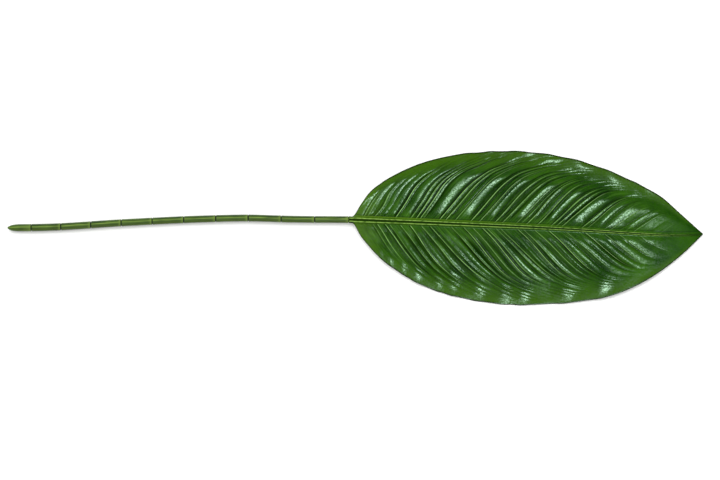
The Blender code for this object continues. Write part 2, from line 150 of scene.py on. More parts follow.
LOWER = {
    "side": -1,
    "widths": (3.7, 4, 16, 28, 41.5, 55, 67.5, 76.5, 83, 85.5, 83, 77.5, 66.5, 52.5, 39.5, 21, 0),
    "vein_lead": 0.215,
    "vein_curl": 0.812,
    "vein_bow": -0.221,
    "vein_hook": 1.198,
    "veins": (
        (0.060, 0.3, 1, 2), (0.0726, 0.7, 1, 1), (0.0945, 1.0, 3.5, 6), (0.107, 0.4, 2, 5),
        (0.1366, 0.6, 3, 4), (0.1635, 1.0, -3.5, -1), (0.195, 0.6, 4, 3), (0.220, 1.0, 6, 14),
        (0.279, 0.6, 2, 4), (0.3135, 1.0, -5, -9), (0.338, 0.5, -5, -10), (0.366, 1.0, -6.5, -14),
        (0.378, 0.5, -5, -12), (0.404, 0.4, 0, 0), (0.4165, 0.6, 2, 2), (0.4657, 1.0, -9, -13),
        (0.481, 0.6, -6, -10), (0.513, 0.6, -3, -6), (0.553, 1.0, -7, -9), (0.601, 0.5, 3, 0),
        (0.6565, 1.0, 0, 2), (0.711, 0.6, -1.5, -5), (0.7535, 0.5, 0, -1), (0.812, 0.4, 5, 5),
    ),
    "valleys": (
        (0.030, 0.2, 0.0), (0.054, 0.4, 0.3), (0.0835, 0.6, 0.0), (0.0995, 0.9, 0.4), (0.1285, 0.9, 0.5),
        (0.151, 0.8, -0.7), (0.170, 0.5, -1.0), (0.187, 0.8, 0.6), (0.2085, 0.8, -0.5), (0.2265, 0.7, -1.0),
        (0.2437, 0.5, 0.8), (0.2724, 1.0, 0.6), (0.2926, 1.0, -0.8), (0.3215, 0.8, 0.8), (0.350, 0.9, -0.6),
        (0.3721, 0.8, 0.7), (0.396, 1.0, 0.0), (0.4092, 0.6, 0.4), (0.4247, 0.7, -1.0), (0.4519, 0.6, -0.7),
        (0.472, 0.8, 0.6), (0.499, 0.7, -0.3), (0.525, 0.7, -1.0), (0.547, 0.9, 0.0), (0.5584, 0.6, 0.7),
        (0.584, 0.7, 0.8), (0.6275, 0.6, -0.6), (0.655, 1.0, 0.8), (0.6964, 0.6, 0.8), (0.7453, 0.6, -0.2),
        (0.8059, 0.6, 0.6), (0.87, 0.3, 0.6),
    ),
    "hump": 1.6,
    "hump_from": (0.0, 0.0, 0.0, 0.0, 0.0, 0.0, 0.0),
    "crest": (0.15, 0.15, 0.15, 0.15, 0.12, 0.1, 0.1),
    "brim": (0.95, 0.92, 0.88, 0.84, 0.72, 0.8, 0.9),
    "crown": (1.0, 1.0, 1.0, 1.0, 0.8, 0.4, 0.0),
    "reach": (0.84, 0.86, 0.88, 0.78, 0.66, 0.56, 0.5),
    "tip_lift": 1.1,
    "margin_sag": 0.0,
    "pleat_height": 3.0,
    "pleat_start": 0.25,
    "flatness": 1.6,
    "ruffle_rise": (-0.3, -0.08),
    "ruffle_fall": 1.0,
    "ruffles": (
        (0.085, 0.86, 2.2, 0.012), (0.11, 0.88, 2.2, 0.010), (0.147, 0.88, 2.0, 0.012),
        (0.186, 0.86, 2.2, 0.014), (0.245, 0.88, 2.2, 0.014), (0.285, 0.86, 2.2, 0.014),
        (0.356, 0.88, 2.4, 0.020), (0.432, 0.88, 2.3, 0.020), (0.484, 0.92, 2.5, 0.018),
        (0.605, 0.90, 2.4, 0.022), (0.71, 0.84, 2.6, 0.022),
    ),
}

# Relief of the blade: pleats between grooves, raised veins, and a margin that drapes to the surface
PLEAT_REACH = 14.0
PLEAT_BEGIN = 0.05
PLEAT_END = (0.76, 0.92)
PLEAT_RUN_OUT = (-0.2, 0.1)
END_DEPTH = 0.3
FIRST_LEAN = -0.5
LEAN_SLOPE = 0.1
LEAN_FLATTENS = 0.6
RUFFLE_SPREAD = 0.25
RUFFLE_FALLS_FROM = -0.06
DRAPE_AT_SEAM = 0.3
DRAPE_PLACES = (0.03, 0.26)
TIP_LIFT_PLACES = (0.6, 0.85)
LOWEST_AT = 0.46
MARGIN_WAVES = 9
MARGIN_WAVE_HEIGHT = 1.2
MARGIN_WAVE_PLACES = (0.85, 1.1)
VEIN_HALF_WIDTH = 0.0008
VEIN_RISE = 0.22
VEIN_BEGIN = 0.02
VEIN_RUN_OUT = (-0.38, -0.02)
VEIN_END = (0.78, 0.95)
CREASE_OFF = 0.0038
CREASE_HALF_WIDTH = 0.0022
CREASE_AFTER = 0.35
CREASE_DEPTH = 0.06

# The stem: round, then half round under the blade. Places near a ring are in the ring's half widths
STEM_BENDS = (
    (-380.0, 0.1), (-338.0, 0.7), (-251.0, 5.9), (-164.0, 9.9), (-118.0, 10.9), (-70.0, 9.6), (-7.0, 9.1),
)
STEM_SIDES = 40
STEM_ANGLES = 2 * math.pi * (np.arange(STEM_SIDES) + 0.5) / STEM_SIDES - math.pi / 2
STEM_FOOT_RADIUS = 4.0
STEM_SEAM_RADIUS = 3.65
STEM_TOP_ABOVE_SPINE = 2.95
NOSE_LENGTH = 15.0
NOSE_START = 0.004
NOSE_FULLNESS = (2.4, 0.55)
NOSE_STATIONS = 15
RING_DEPTH = 0.55
RING_HALF_WIDTH = 0.55
RING_LIP = 0.12
LIP_AT = 2.0
NEAR_RING = (-3.2, -2.4, -1.9, -1.5, -1.1, -0.85, -0.6, -0.3, 0.0, 0.3, 0.6, 0.85, 1.1, 1.5, 1.9, 2.4, 3.2)
BETWEEN_RINGS = np.linspace(0.12, 0.88, 9)
GROOVE_SHADE = 1.35
# Where the painted highlight on the lip before each ring lies
LIP_HIGHLIGHT_AT = -2.4
SPINE_DEPTH = 4.0
SPINE_THINNING = 0.8
SPINE_END = 0.86
SPINE_CLOSES_FROM = 0.84
SPINE_CLOSING = 0.8
SPINE_STATIONS = 60

# How finely the blade is divided. Columns stand closer, by a factor and over a share of the blade's
# length, at each vein and valley, at the seam and at the tip
BLADE_COLUMNS = 640
RIB_ROWS = 13
WING_ROWS = 33
WING_EVENNESS = 0.75
RIM_ROWS = (0.985, 0.993)
CLOSER_AT_VEIN = (4.0, 0.002)
CLOSER_AT_VALLEY = (1.2, 0.003)
CLOSER_AT_SEAM = (6.0, 0.01)
CLOSER_AT_TIP = (1.5, 0.02)
DENSITY_SAMPLES = 8001

# Colours as on a screen, from 0 to 255. The blade is mottled from the deep green to the fresh one
DEEP_GREEN = (21, 59, 0)
FRESH_GREEN = (43, 86, 0)
STREAK_GREEN = (74, 120, 34)
THREAD_GREEN = (9, 38, 0)
MARGIN_GREEN = (50, 86, 1)
NECK_GREEN = (68, 102, 6)
# Painted shade, laid over the blade in the valleys between its pleats
HOLLOW_SHADE_GREEN = (6, 28, 0)
# Painted shade in the creases beside the veins
CREASE_SHADE_GREEN = (3, 18, 0)
# The veins' own pale green, lightened further as a painted highlight
PALE_VEIN_AND_HIGHLIGHT = (144, 190, 108)
RIM_OLIVE = (14, 28, 0)
# Painted shade in a band beside the rib on the upper half
FURROW_SHADE_GREEN = (12, 40, 0)
# Painted light: an olive band on the rib's upper flank, near the seam
LIT_FLANK_OLIVE = (64, 96, 8)
RIB_AT_SEAM = (54, 84, 4)
RIB_NEAR_TIP = (30, 62, 3)
RIB_STRAND = (26, 60, 2)
# A painted highlight on each of the rib's two ridges
RIDGE_HIGHLIGHT_GREEN = (136, 172, 82)
# Painted shade in the rib's channel
CHANNEL_SHADE_GREEN = (14, 40, 0)
UNDERSIDE_GREEN = (92, 128, 66)
# The stem's olive with painted light on its front side and painted shade on its back side
STEM_LIT_FRONT = (63, 83, 8)
STEM_SHADED_BACK = (33, 60, 12)
STEM_MOTTLE = (64, 90, 20)
STEM_STRAND = (30, 50, 6)
# A painted highlight along the stem's top
STEM_HIGHLIGHT_LINE = (116, 144, 60)
# A painted highlight on the lip before each ring
RING_LIP_HIGHLIGHT = (104, 130, 52)
# Painted shade in each ring's groove
RING_GROOVE_SHADE = (10, 26, 2)

# The grain of the skin, as noise scales per metre, and fibres, which are drawn out along the leaf
BLADE_SPECKLE = 640.0
BLADE_MOTTLE = 28.0
STEM_SPECKLE = 700.0
STEM_MOTTLING = 60.0
BLADE_FIBRES = (240.0, 4.0, 1.0)
VEIN_PATCHES = (70.0, 7.0, 1.0)
RIB_STRANDS = (240.0, 500.0, 0.0)
STEM_STRANDS = (60.0, 700.0, 0.0)

# The studio, in metres: the camera looks straight down from this height on a frame this wide
CAMERA_HEIGHT = 2.4
CAMERA_OVER = (0.0049, -0.0131)
FRAME_WIDTH = 0.7873
SENSOR_WIDTH = 36.0
FLOOR_REACH = 4.0
FLOOR_Z = -0.0002
LIT_PLACE = (0.1, 0.0, 0.0)
SKY_STRENGTH = 0.94


def smooth_step(value, start, end):
    """0 before start, 1 after end, and an even curve between them."""
    share = np.clip((value - start) / (end - start), 0.0, 1.0)
    return share * share * (3.0 - 2.0 * share)


def smooth_through(places, values, at):
    """A smooth curve through a few given points."""
    places = np.asarray(places)
    values = np.asarray(values)
    slopes = np.gradient(values, places)
    piece = np.clip(np.searchsorted(places, at) - 1, 0, len(places) - 2)
    length = places[piece + 1] - places[piece]
    s = (at - places[piece]) / length
    ends = (2 * s**3 - 3 * s**2 + 1) * values[piece] + (3 * s**2 - 2 * s**3) * values[piece + 1]
    tangents = (s**3 - 2 * s**2 + s) * slopes[piece] + (s**3 - s**2) * slopes[piece + 1]
    return ends + tangents * length


def bell(value, half_width):
    """1 at 0, falling evenly on both sides."""
    return np.exp(-((value / half_width) ** 2))


def midrib_y(along):
    """The midrib seen from above: a straight lean, with a slight sway short of the tip."""
    crest = SWAY_POWER / (SWAY_POWER + 1)
    sway = along**SWAY_POWER * (1 - along) / (crest**SWAY_POWER * (1 - crest))
    return SEAM_Y + (TIP_Y - SEAM_Y) * along + MIDRIB_SWAY * sway


def midrib_under_z(along):
    """Height of the blade's lower face along the midrib, which arches off the surface."""
    lean = SEAM_UNDER_Z + (TIP_UNDER_Z - SEAM_UNDER_Z) * along
    return lean + ARCH_RISE * np.sin(math.pi * along)


def half_width(along, half):
    """From the midrib's middle to the margin, which stands out slightly at each ruffle."""
    outline = np.maximum(smooth_through(OUTLINE_PLACES, half["widths"], along), 0.0)
    bulge = sum(lift * bell(along - place, reach) for place, _, lift, reach in half["ruffles"])
    return outline + RUFFLE_SPREAD * bulge * outline / max(half["widths"])


def width_share(along, half):
    """How far the half blade has opened from its neck, as a share of its greatest width."""
    neck = half["widths"][0]
    return np.clip((half_width(along, half) - neck) / (max(half["widths"]) - neck), 0.0, 1.0)


def rib_half_width(along, half):
    """The rib narrows towards the tip, and always leaves some sheet beside it."""
    rib = RIB_HALF_WIDTH * (1 - RIB_NARROWING * along)
    return np.minimum(rib, RIB_SHARE_OF_BLADE * half_width(along, half))


def stray(start, across, half):
    """How far the vein here wanders from its even sweep."""
    places = [0.0, *(vein[0] for vein in half["veins"]), 1.0]
    middle = np.interp(start, places, [0.0, *(vein[2] for vein in half["veins"]), 0.0])
    outer = np.interp(start, places, [0.0, *(vein[3] for vein in half["veins"]), 0.0])
    at_middle = smooth_through(STRAY_PLACES, (0.0, 0.0, 1.0, 0.0, 0.0), across)
    at_outer = smooth_through(STRAY_PLACES, (0.0, 0.0, 0.0, 1.0, 0.0), across)
    return (middle * at_middle + outer * at_outer) / 1000


def vein_place(start, across, half):
    """How far along the blade a vein has got when it is this far across. start is where it leaves the
    midrib, and across runs from 0 at the midrib's middle to 1 at the margin."""
    hook = half["vein_hook"] * across**HOOK_POWER
    hook *= 1 - HOOK_EASING * smooth_step(across, HOOK_EASES_FROM, 1.0)
    sweep = (across + half["vein_bow"] * across**2 + hook) / VEIN_SWEEP_SCALE
    lead = 1 - half["vein_lead"] * sweep
    curl = 1 + half["vein_curl"] * sweep
    strayed = np.clip(start + stray(start, across, half), 0.0, 1.0)
    return 1 - (1 - strayed**lead) ** curl


def pleat_drop(start, half):
    """(how far the sheet dips below the pleats' crests, in millimetres, how deep in a valley it is, from
    0 to 1) for a place on the midrib. A pleat that leans has a flatter top, tilted to the front."""
    places = np.array([0.0, *(valley[0] for valley in half["valleys"]), 1.0])
    depths = np.array([END_DEPTH, *(valley[1] for valley in half["valleys"]), END_DEPTH])
    leans = np.array([FIRST_LEAN, *(valley[2] for valley in half["valleys"])])
    which = np.clip(np.searchsorted(places, start, side="right") - 1, 0, len(places) - 2)
    spacing = (places[which + 1] - places[which]) * BLADE_LENGTH
    share = np.clip((start * BLADE_LENGTH - places[which] * BLADE_LENGTH) / spacing, 0.0, 1.0)
    lean = leans[which]
    arch = 1 - np.abs(2 * share - 1) ** (half["flatness"] + LEAN_FLATTENS * lean)
    floor = half["pleat_height"] * (depths[which] * (1 - share) + depths[which + 1] * share)
    rise = arch * floor * (1 - np.exp(-spacing / PLEAT_REACH))
    tilt = half["side"] * LEAN_SLOPE * lean * spacing * (share - 0.5) * arch
    return floor - rise + tilt, (1 - arch) * floor / half["pleat_height"]


def vein_reach(start, half):
    """How far across the veins and pleats run before they fade, less far towards the tip."""
    return smooth_through(CROWN_PLACES, half["reach"], start)


def pleat_fade(start, along, across, half):
    """Pleats start beside the rib, and run out towards the margin, the seam and the tip."""
    reach = vein_reach(start, half)
    run_out = smooth_step(across, reach + PLEAT_RUN_OUT[0], reach + PLEAT_RUN_OUT[1])
    fade_across = smooth_step(across, 0.0, half["pleat_start"]) * (1 - run_out)
    return fade_across * smooth_step(start, 0.0, PLEAT_BEGIN) * (1 - smooth_step(along, *PLEAT_END))


def vein_line(start, across, half):
    """1 on a strong vein, less on a faint one, and 0 off the veins."""
    line = np.zeros_like(start)
    for place, strength, _, _ in half["veins"]:
        line = np.maximum(line, strength * bell(start - place, VEIN_HALF_WIDTH))
    return line * vein_fade(start, across, half)


def crease_line(start, across, half):
    """1 in the creases beside a strong vein, of which the one on the side of the seam is the deeper."""
    line = np.zeros_like(start)
    for place, strength, _, _ in half["veins"]:
        before = bell(start - place + CREASE_OFF, CREASE_HALF_WIDTH)
        after = CREASE_AFTER * bell(start - place - CREASE_OFF, CREASE_HALF_WIDTH)
        line = np.maximum(line, strength * np.maximum(before, after))
    return line * vein_fade(start, across, half)


def vein_fade(start, across, half):
    """Veins and creases begin beside the rib, and run out before the margin and the tip."""
    reach = vein_reach(start, half)
    run_out = smooth_step(across, reach + VEIN_RUN_OUT[0], reach + VEIN_RUN_OUT[1])
    return smooth_step(across, 0.0, VEIN_BEGIN) * (1 - run_out) * (1 - smooth_step(start, *VEIN_END))


def ruffle_height(along, across, half):
    """Gentle lifts of the outer sheet: at the margin on the upper half, and inside it on the lower."""
    height = np.zeros_like(along)
    begin, end = half["ruffle_rise"]
    for place, middle, lift, reach in half["ruffles"]:
        rise = smooth_step(across, middle + begin, middle + end)
        fall = half["ruffle_fall"] * smooth_step(across, middle + RUFFLE_FALLS_FROM, 1.0)
        height += lift * bell(along - place, reach) * rise * (1 - fall)
    return height


def under_side(start, along, across, half):
    """(height of the lower face, how deep in a valley it is): the crown beside the midrib, its fall to
    the margin that drapes to the surface, the pleats and the ruffles."""
    spread = width_share(along, half)
    rib_z = midrib_under_z(along)
    drape = spread * (DRAPE_AT_SEAM + (1 - DRAPE_AT_SEAM) * smooth_step(along, *DRAPE_PLACES))
    drape *= 1 - half["tip_lift"] * smooth_step(along, *TIP_LIFT_PLACES)
    wave = 0.5 - 0.5 * np.cos(2 * math.pi * MARGIN_WAVES * (along - LOWEST_AT))
    wave_height = MARGIN_WAVE_HEIGHT * wave * spread * smooth_step(across, *MARGIN_WAVE_PLACES)
    margin_z = rib_z * (1 - drape) + wave_height
    hump_from, crest, brim, crown = (
        smooth_through(CROWN_PLACES, half[key], start) for key in ("hump_from", "crest", "brim", "crown")
    )
    crown_z = rib_z + half["hump"] * crown * spread * smooth_step(across, hump_from, crest)
    fall = smooth_step(across, crest, brim)
    drop, depth = pleat_drop(start, half)
    fade = pleat_fade(start, along, across, half)
    under = crown_z + (margin_z - crown_z) * fall - drop * fade
    under += (ruffle_height(along, across, half) - half["margin_sag"] * fall) * spread
    return np.maximum(under, 0.0), depth * fade


def blade_row(half, start, across_rib, across):
    """One row of the half blade, as arrays along it: its points on both faces, and what its colours
    follow. across_rib runs from 0 in the midrib's middle to 1 at the rib's foot, and across from there."""
    across = np.full_like(start, across)
    across_rib = np.full_like(start, across_rib)
    along = start
    for _ in range(SWEEP_ROUNDS):
        rib = rib_half_width(along, half)
        full = half_width(along, half)
        out = (rib * across_rib + (full - rib) * across) / np.maximum(full, 0.1)
        along = vein_place(start, out, half)
    rib = rib_half_width(along, half)
    full = half_width(along, half)
    under, hollow = under_side(start, along, across, half)
    vein = vein_line(start, across, half)
    crease = crease_line(start, across, half)
    to_margin = (full - rib) * (1 - across)
    sheet = MARGIN_SHEET + (SHEET - MARGIN_SHEET) * smooth_step(to_margin, 0.0, MARGIN_TAPER)
    profile = smooth_through(RIB_PLACES, RIB_PROFILE, across_rib) * (1 - RIB_LOWERING * along)
    return {
        "x": SEAM_X + 2 * GAP + (BLADE_LENGTH - 2 * GAP) * along,
        "y": midrib_y(along) + half["side"] * (rib * across_rib + (full - rib) * across),
        "under": under,
        "upper": under + sheet + profile + VEIN_RISE * vein - CREASE_DEPTH * crease,
        "vein": vein,
        "crease": crease,
        "hollow": hollow,
        "rim": 1 - smooth_step(to_margin, *RIM_PLACES),
        "off_rib": half["side"] * (full - rib) * across,
        "rib": 1 - smooth_step(across_rib, *RIB_COLOUR_PLACES),
        "ridge": bell(across_rib - RIDGE_AT, RIDGE_HALF_WIDTH),
        "channel": bell(across_rib, CHANNEL_HALF_WIDTH),
        "across": across,
        "along": along,
        "start": start,
    }


# What the blade's material reads from its points, besides which face they are on
BLADE_TRAITS = (
    "vein", "crease", "hollow", "rim", "off_rib", "rib", "ridge", "channel", "across", "along", "start",
)


def column_places(half):
    """Where the columns leave the midrib: close together on veins and grooves, wider between them."""
    samples = np.linspace(0.0, 1.0, DENSITY_SAMPLES)
    density = np.ones_like(samples)
    for lines, (closer, reach) in ((half["veins"], CLOSER_AT_VEIN), (half["valleys"], CLOSER_AT_VALLEY)):
        for line in lines:
            density += closer * bell(samples - line[0], reach)
    density += CLOSER_AT_SEAM[0] * np.exp(-samples / CLOSER_AT_SEAM[1])
    density += CLOSER_AT_TIP[0] * np.exp(-(1 - samples) / CLOSER_AT_TIP[1])
    total = np.concatenate([[0.0], np.cumsum((density[1:] + density[:-1]) / 2)])
    evenly = np.linspace(0.0, total[-1], BLADE_COLUMNS)
    return np.interp(evenly, total, samples)


def half_rows(half, shared):
    """The half blade's rows, from the midrib's middle outwards."""
    own = column_places(half)
    rows = []
    for across_rib in np.linspace(0.0, 1.0, RIB_ROWS):
        start = own * across_rib + shared * (1 - across_rib)
        rows.append(blade_row(half, start, across_rib, 0.0))
    evenly = np.arange(1, WING_ROWS + 1) / WING_ROWS
    closer_at_ends = 0.5 - 0.5 * np.cos(math.pi * evenly)
    places = WING_EVENNESS * evenly + (1 - WING_EVENNESS) * closer_at_ends
    for across in sorted([*places, *RIM_ROWS]):
        rows.append(blade_row(half, own, 1.0, across))
    return rows


def blade_grid():
    """Both half blades as one grid of rows, from the lower margin to the upper one."""
    shared = (column_places(UPPER) + column_places(LOWER)) / 2
    rows = half_rows(LOWER, shared)[:0:-1] + half_rows(UPPER, shared)
    return {key: np.array([row[key] for row in rows]) for key in rows[0]}


def make_mesh(name, vertices, faces, smooth_angle):
    """A smooth-shaded mesh object from points in millimetres, with edges sharper than the angle kept."""
    mesh = bpy.data.meshes.new(name)
    mesh.from_pydata((np.asarray(vertices) * MM).tolist(), [], faces)
    mesh.validate()
    mesh.shade_smooth()
    mesh.set_sharp_from_angle(angle=math.radians(smooth_angle))
    piece = bpy.data.objects.new(name, mesh)
    bpy.context.scene.collection.objects.link(piece)
    return piece


def paint(piece, name, values):
    """Stores one number for each point, which the material reads by name."""
    layer = piece.data.attributes.new(name, "FLOAT", "POINT")
    layer.data.foreach_set("value", np.ascontiguousarray(values, np.float32))


def sheet_faces(rows, columns, first, upward):
    """Four-sided faces over a grid of points, of which the first has this number."""
    faces = []
    for row in range(rows - 1):
        for column in range(columns - 1):
            a = first + row * columns + column
            face = (a, a + 1, a + columns + 1, a + columns)
            faces.append(face if upward else face[:1] + face[:0:-1])
    return faces


def margin_faces(rows, rows_below, columns):
    """The edge of the sheet: along both margins, then across its two ends, where the lower face has half
    as many rows."""
    below = rows * columns
    last = (rows - 1) * columns
    last_below = below + (rows_below - 1) * columns
    faces = []
    for column in range(columns - 1):
        faces.append((column, column + below, column + below + 1, column + 1))
        faces.append((last + column, last + column + 1, last_below + column + 1, last_below + column))
    for row in range(rows_below - 1):
        for column, turn in ((0, 1), (columns - 1, -1)):
            a = 2 * row * columns + column
            b = below + row * columns + column
            faces.append((a, a + columns, a + 2 * columns, b + columns, b)[::turn])
    return faces


def make_blade():
    """The sheet as two grids, joined round the margin. The lower face takes every second row."""
    grid = blade_grid()
    rows, columns = grid["x"].shape
    below = slice(0, rows, 2)
    top = np.stack([grid["x"], grid["y"], grid["upper"]], axis=2)
    bottom = np.stack([grid["x"], grid["y"], grid["under"]], axis=2)[below]
    vertices = np.concatenate([top.reshape(-1, 3), bottom.reshape(-1, 3)])
    faces = sheet_faces(rows, columns, 0, True)
    faces += sheet_faces(len(bottom), columns, rows * columns, False)
    faces += margin_faces(rows, len(bottom), columns)
    piece = make_mesh("leaf_blade", vertices, faces, 60)
    for key in BLADE_TRAITS:
        paint(piece, key, np.concatenate([grid[key].ravel(), grid[key][below].ravel()]))
    paint(piece, "underside", np.concatenate([np.zeros(rows * columns), np.ones(len(bottom) * columns)]))
    return piece


def bend_y(x):
    """The stem seen from above."""
    places, values = zip(*STEM_BENDS)
    return float(smooth_through(places, values, x))


def stem_radius(x):
    """It thins slightly past the first ring, its nose is rounded, and a ring is a groove with two lips."""
    share = max(0.0, (x - ring_x(0)) / (SEAM_X - ring_x(0)))
    radius = STEM_FOOT_RADIUS + (STEM_SEAM_RADIUS - STEM_FOOT_RADIUS) * share
    nose = min(NOSE_START + (1 - NOSE_START) * (x - FOOT_X) / NOSE_LENGTH, 1.0)
    radius *= (1 - (1 - nose) ** NOSE_FULLNESS[0]) ** NOSE_FULLNESS[1]
    for off in ring_offsets(x):
        radius += RING_LIP * math.exp(-((abs(off) - LIP_AT) ** 2)) - RING_DEPTH * math.exp(-(off**4))
    return radius


def ring_offsets(x):
    """How far a place on the stem is from each ring and from the seam, in the ring's half widths."""
    return [(x - ring_x(number)) / RING_HALF_WIDTH for number in range(RING_COUNT + 1)]


def stem_axis_z(x):
    """The foot lies flat on the surface, and the stem then lifts slightly to the blade."""
    foot = STEM_FOOT_RADIUS
    seam = SEAM_UNDER_Z + STEM_TOP_ABOVE_SPINE - STEM_SEAM_RADIUS
    return foot + (seam - foot) * float(smooth_step(x, ring_x(0), SEAM_X))


def stem_stations():
    """Places along the stem: close at the nose and the rings, wider between them."""
    nose = [(step / (NOSE_STATIONS - 1)) ** 2 for step in range(NOSE_STATIONS)]
    places = [FOOT_X + NOSE_LENGTH * share for share in nose]
    for number in range(RING_COUNT):
        middle = ring_x(number)
        after = ring_x(number + 1)
        places += [middle + RING_HALF_WIDTH * offset for offset in NEAR_RING]
        places += [middle + (after - middle) * share for share in BETWEEN_RINGS]
    places += [SEAM_X + RING_HALF_WIDTH * offset for offset in NEAR_RING if offset <= 0]
    return sorted(places)


def stem_section(x):
    """One ring of points round the stem, flattened where it would pass through the surface."""
    radius = stem_radius(x)
    y = bend_y(x) + radius * np.cos(STEM_ANGLES)
    z = np.maximum(stem_axis_z(x) + radius * np.sin(STEM_ANGLES), 0.0)
    return np.stack([np.full(STEM_SIDES, x), y, z], axis=1)


def spine_section(along):
    """One ring of points round the midrib's lower side, flat above and half round below."""
    closed = 1 - smooth_step(along, SPINE_CLOSES_FROM, SPINE_END) * SPINE_CLOSING
    width = (RIB_HALF_WIDTH - GAP) * (1 - RIB_NARROWING * along) * closed
    depth = SPINE_DEPTH * (1 - SPINE_THINNING * along) * closed
    x = SEAM_X + GAP + (BLADE_LENGTH - GAP) * along
    y = midrib_y(along) + width * np.cos(STEM_ANGLES)
    z = midrib_under_z(along) - GAP + depth * np.minimum(0.0, np.sin(STEM_ANGLES))
    return np.stack([np.full(STEM_SIDES, x), y, z], axis=1)


def make_stem():
    """One loft: the ringed stem, then the half-round lower side of the midrib."""
    sections = [stem_section(x) for x in stem_stations()]
    sections += [spine_section(along) for along in np.linspace(0.0, SPINE_END, SPINE_STATIONS)]
    faces = [tuple(reversed(range(STEM_SIDES)))]
    for section in range(len(sections) - 1):
        for corner in range(STEM_SIDES):
            after = (corner + 1) % STEM_SIDES
            a = section * STEM_SIDES
            faces.append((a + corner, a + after, a + STEM_SIDES + after, a + STEM_SIDES + corner))
    end = len(sections) * STEM_SIDES
    faces.append(tuple(range(end - STEM_SIDES, end)))
    piece = make_mesh("leaf_stem", np.concatenate(sections), faces, 45)
    groove = []
    lip = []
    for section in sections:
        offsets = ring_offsets(section[0, 0])
        # where painted shade lies in each ring's groove
        groove += [sum(math.exp(-((off / GROOVE_SHADE) ** 4)) for off in offsets[:-1])] * STEM_SIDES
        # where the painted highlight lies on the lip before each ring
        lip += [sum(math.exp(-((off - LIP_HIGHLIGHT_AT) ** 2)) for off in offsets)] * STEM_SIDES
    paint(piece, "groove", groove)
    paint(piece, "lip", lip)
    paint(piece, "side", np.tile(np.cos(STEM_ANGLES), len(sections)))
    return piece


def srgb(red, green, blue):
    """A colour given as on a screen, 0 to 255, as the numbers that a shader takes."""
    return tuple(((v / 255 + 0.055) / 1.055) ** 2.4 for v in (red, green, blue)) + (1.0,)


def add(tree, kind, sockets=None, **settings):
    """A node with its settings made and its inputs set or linked."""
    made = tree.nodes.new(kind)
    for name, value in settings.items():
        setattr(made, name, value)
    for name, value in (sockets or {}).items():
        if isinstance(value, bpy.types.NodeSocket):
            tree.links.new(value, made.inputs[name])
        else:
            made.inputs[name].default_value = value
    return made


def ramp(tree, value, low, high, least=0.0, most=1.0):
    """least below low, most above high, and an even slope between them."""
    return add(tree, "ShaderNodeMapRange", {0: value, 1: low, 2: high, 3: least, 4: most}).outputs[0]


def product(tree, *factors):
    """Masks multiplied together, or by a strength."""
    result = factors[0]
    for factor in factors[1:]:
        result = add(tree, "ShaderNodeMath", {0: result, 1: factor}, operation="MULTIPLY").outputs[0]
    return result


def opposite(tree, mask):
    """1 where the mask is 0, and 0 where it is 1."""
    return add(tree, "ShaderNodeMath", {0: 1.0, 1: mask}, operation="SUBTRACT").outputs[0]


def mix_colour(tree, share, first, second):
    """The first colour where the share is 0, the second where it is 1."""
    return add(tree, "ShaderNodeMix", {0: share, 6: first, 7: second}, data_type="RGBA").outputs[2]


def layered(tree, colour, layers):
    """Lays colours over the first one, each where its mask is above 0, and by its own strength."""
    for mask, strength, shade in layers:
        colour = mix_colour(tree, product(tree, mask, strength), colour, srgb(*shade))
    return colour


def painted(tree, name):
    """A number that was stored on the piece's points."""
    return add(tree, "ShaderNodeAttribute", attribute_name=name).outputs["Fac"]


def drawn_out_noise(tree, place, scale, detail):
    """A noise drawn out by a different scale in each direction."""
    place = add(tree, "ShaderNodeMapping", {"Vector": place, "Scale": scale}).outputs[0]
    return add(tree, "ShaderNodeTexNoise", {"Vector": place, "Scale": 1.0, "Detail": detail}).outputs["Fac"]


def along_strands(tree, scale):
    """A noise drawn out along the leaf, for its strands."""
    place = tree.nodes.new("ShaderNodeTexCoord").outputs["Object"]
    return drawn_out_noise(tree, place, scale, 2.0)


def skin_grain():
    """A group for the fine moulded grain of the leaf's skin: a speckle for gloss, roughness and height,
    and a slow mottle for colour."""
    group = bpy.data.node_groups.new("skin_grain", "ShaderNodeTree")
    group.interface.new_socket("Speckle Scale", in_out="INPUT", socket_type="NodeSocketFloat")
    group.interface.new_socket("Mottle Scale", in_out="INPUT", socket_type="NodeSocketFloat")
    group.interface.new_socket("Speckle", in_out="OUTPUT", socket_type="NodeSocketFloat")
    group.interface.new_socket("Mottle", in_out="OUTPUT", socket_type="NodeSocketFloat")
    given = group.nodes.new("NodeGroupInput").outputs
    result = group.nodes.new("NodeGroupOutput").inputs
    place = group.nodes.new("ShaderNodeTexCoord").outputs["Object"]
    for name, detail, roughness in (("Speckle", 3.0, 0.6), ("Mottle", 4.0, 0.55)):
        sockets = {"Vector": place, "Detail": detail, "Roughness": roughness}
        noise = add(group, "ShaderNodeTexNoise", sockets)
        group.links.new(given[name + " Scale"], noise.inputs["Scale"])
        group.links.new(noise.outputs["Fac"], result[name])
    return group


def place_grain(tree, grain, speckle_scale, mottle_scale):
    """The speckle and the mottle of the skin's grain in a material."""
    scales = {"Speckle Scale": speckle_scale, "Mottle Scale": mottle_scale}
    placed = add(tree, "ShaderNodeGroup", scales, node_tree=grain)
    return placed.outputs["Speckle"], placed.outputs["Mottle"]


def new_material(name):
    """A material, its node tree and its shader."""
    material = bpy.data.materials.new(name)
    material.use_nodes = True
    return material, material.node_tree, material.node_tree.nodes["Principled BSDF"]


